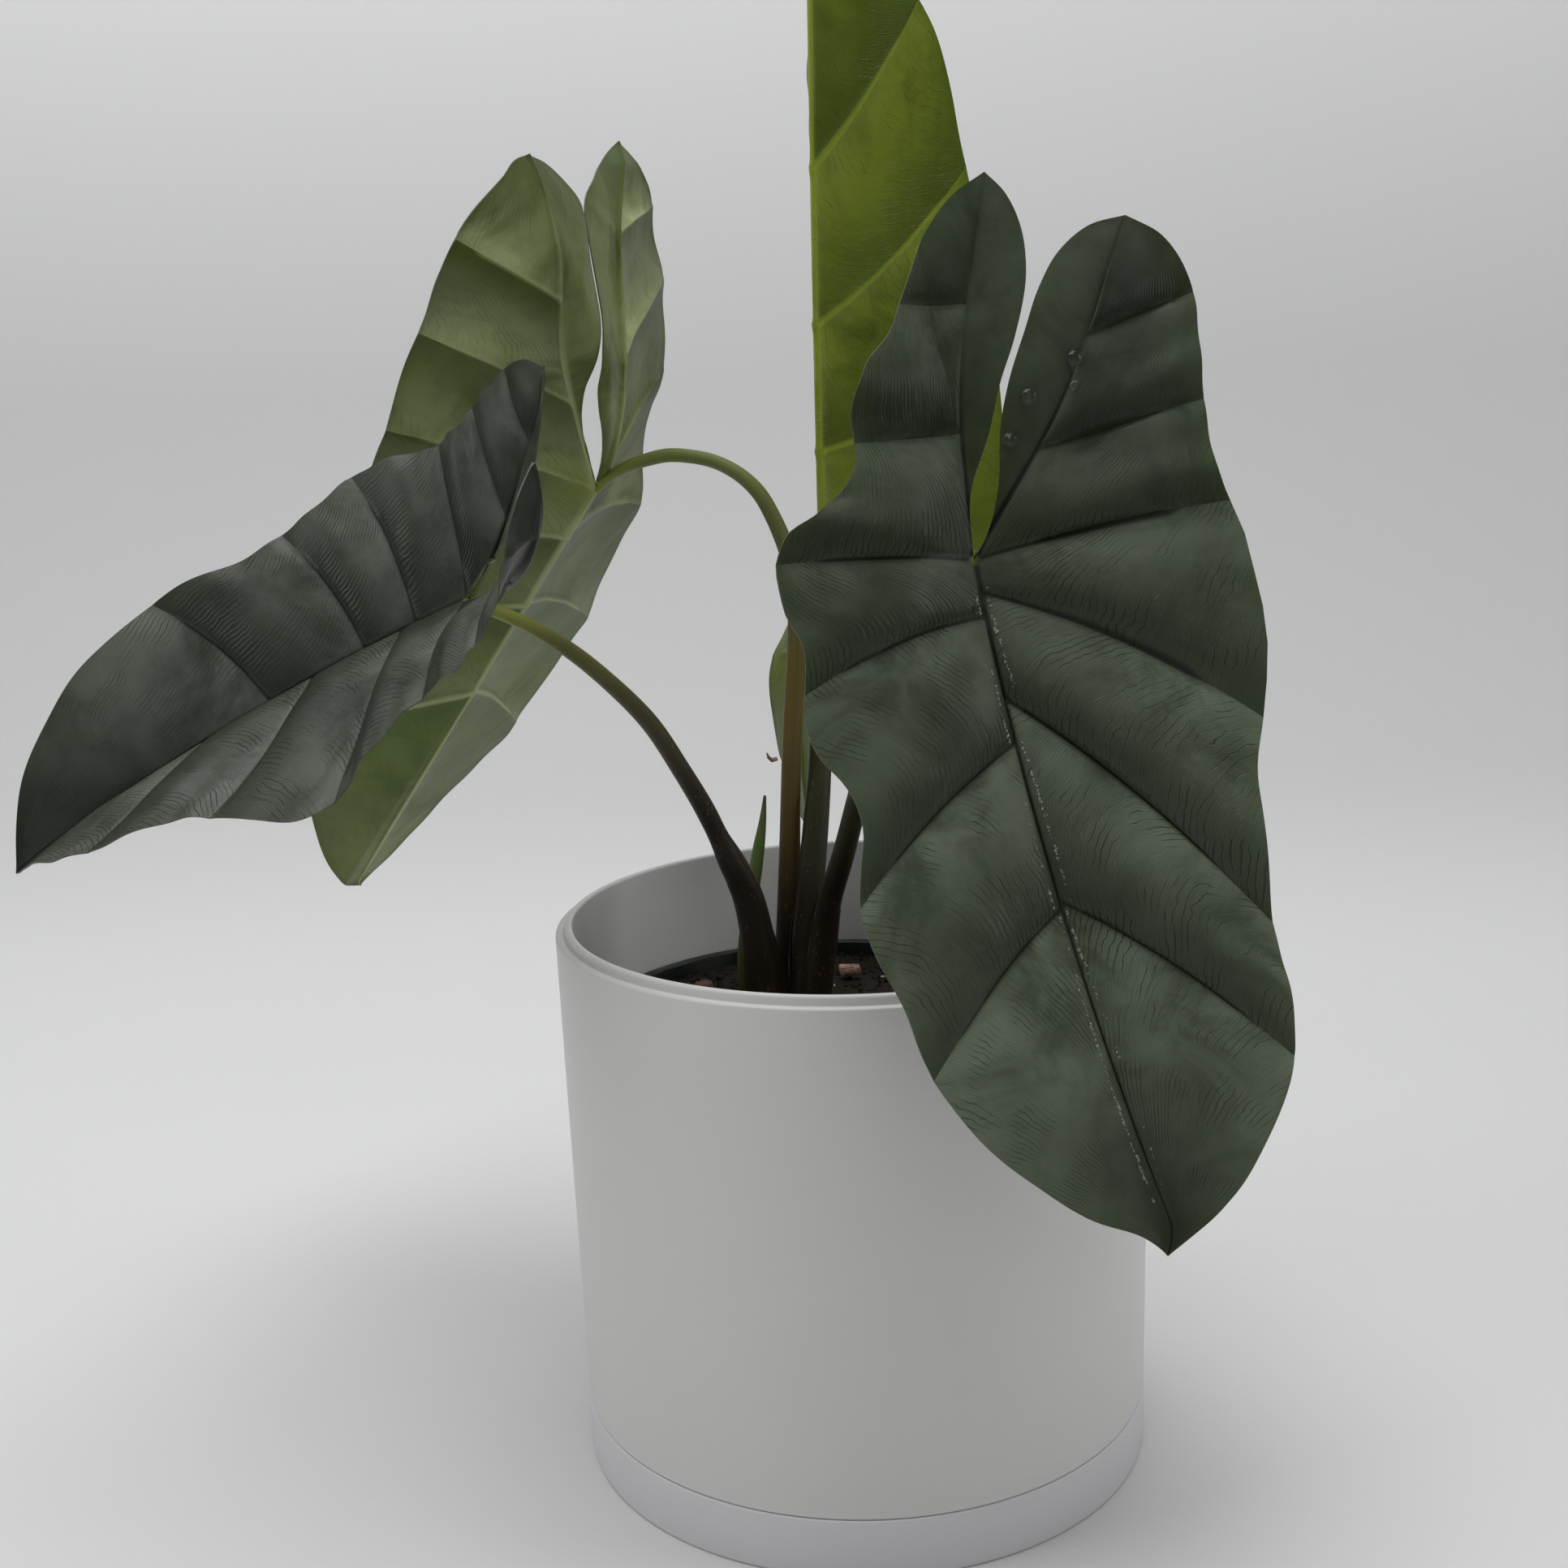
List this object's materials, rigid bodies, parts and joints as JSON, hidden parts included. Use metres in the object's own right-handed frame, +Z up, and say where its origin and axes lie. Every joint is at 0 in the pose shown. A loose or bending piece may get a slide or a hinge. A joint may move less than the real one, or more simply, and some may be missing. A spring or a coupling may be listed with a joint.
{
  "type": "potted plant",
  "caption": "Potted alocasia: arrow-shaped leaves on tall arching stems, growing from soil in a nursery pot inside a plain white planter with a saucer.",
  "frame": {"origin": "middle of the saucer's underside, on the floor", "axes": "+Z up, -Y the side seen from the front, +X to the right seen from the front"},
  "size_m": [0.3317, 0.2846, 0.4796],
  "materials": {
    "white_plastic": "matte, very fine grain",
    "black_plastic": "satin",
    "soil": "rough, damp crumbs",
    "bark": "rough",
    "crown": "rough, fibrous",
    "stem": "satin, smooth skin",
    "dry_husk": "dry, papery",
    "leaf_dark": "satin, waxy",
    "leaf_green": "satin, waxy"
  },
  "bodies": {
    "root": {"saucer": "white_plastic", "planter": "white_plastic", "nursery_pot": "black_plastic", "soil": "soil", "crown": "crown", "stem_left": "stem", "stem_back": "stem", "stem_upright": "stem", "stem_front": "stem", "new_shoot": "stem", "dry_bract": "dry_husk", "leaf_left": "leaf_dark", "leaf_back": "leaf_green", "leaf_upright": "leaf_green", "leaf_front": "leaf_dark", "bark_chip_1": "bark", "bark_chip_2": "bark", "bark_chip_3": "bark", "bark_chip_4": "bark", "bark_chip_5": "bark", "bark_chip_6": "bark", "bark_chip_7": "bark", "bark_chip_8": "bark"}
  },
  "joints": []
}
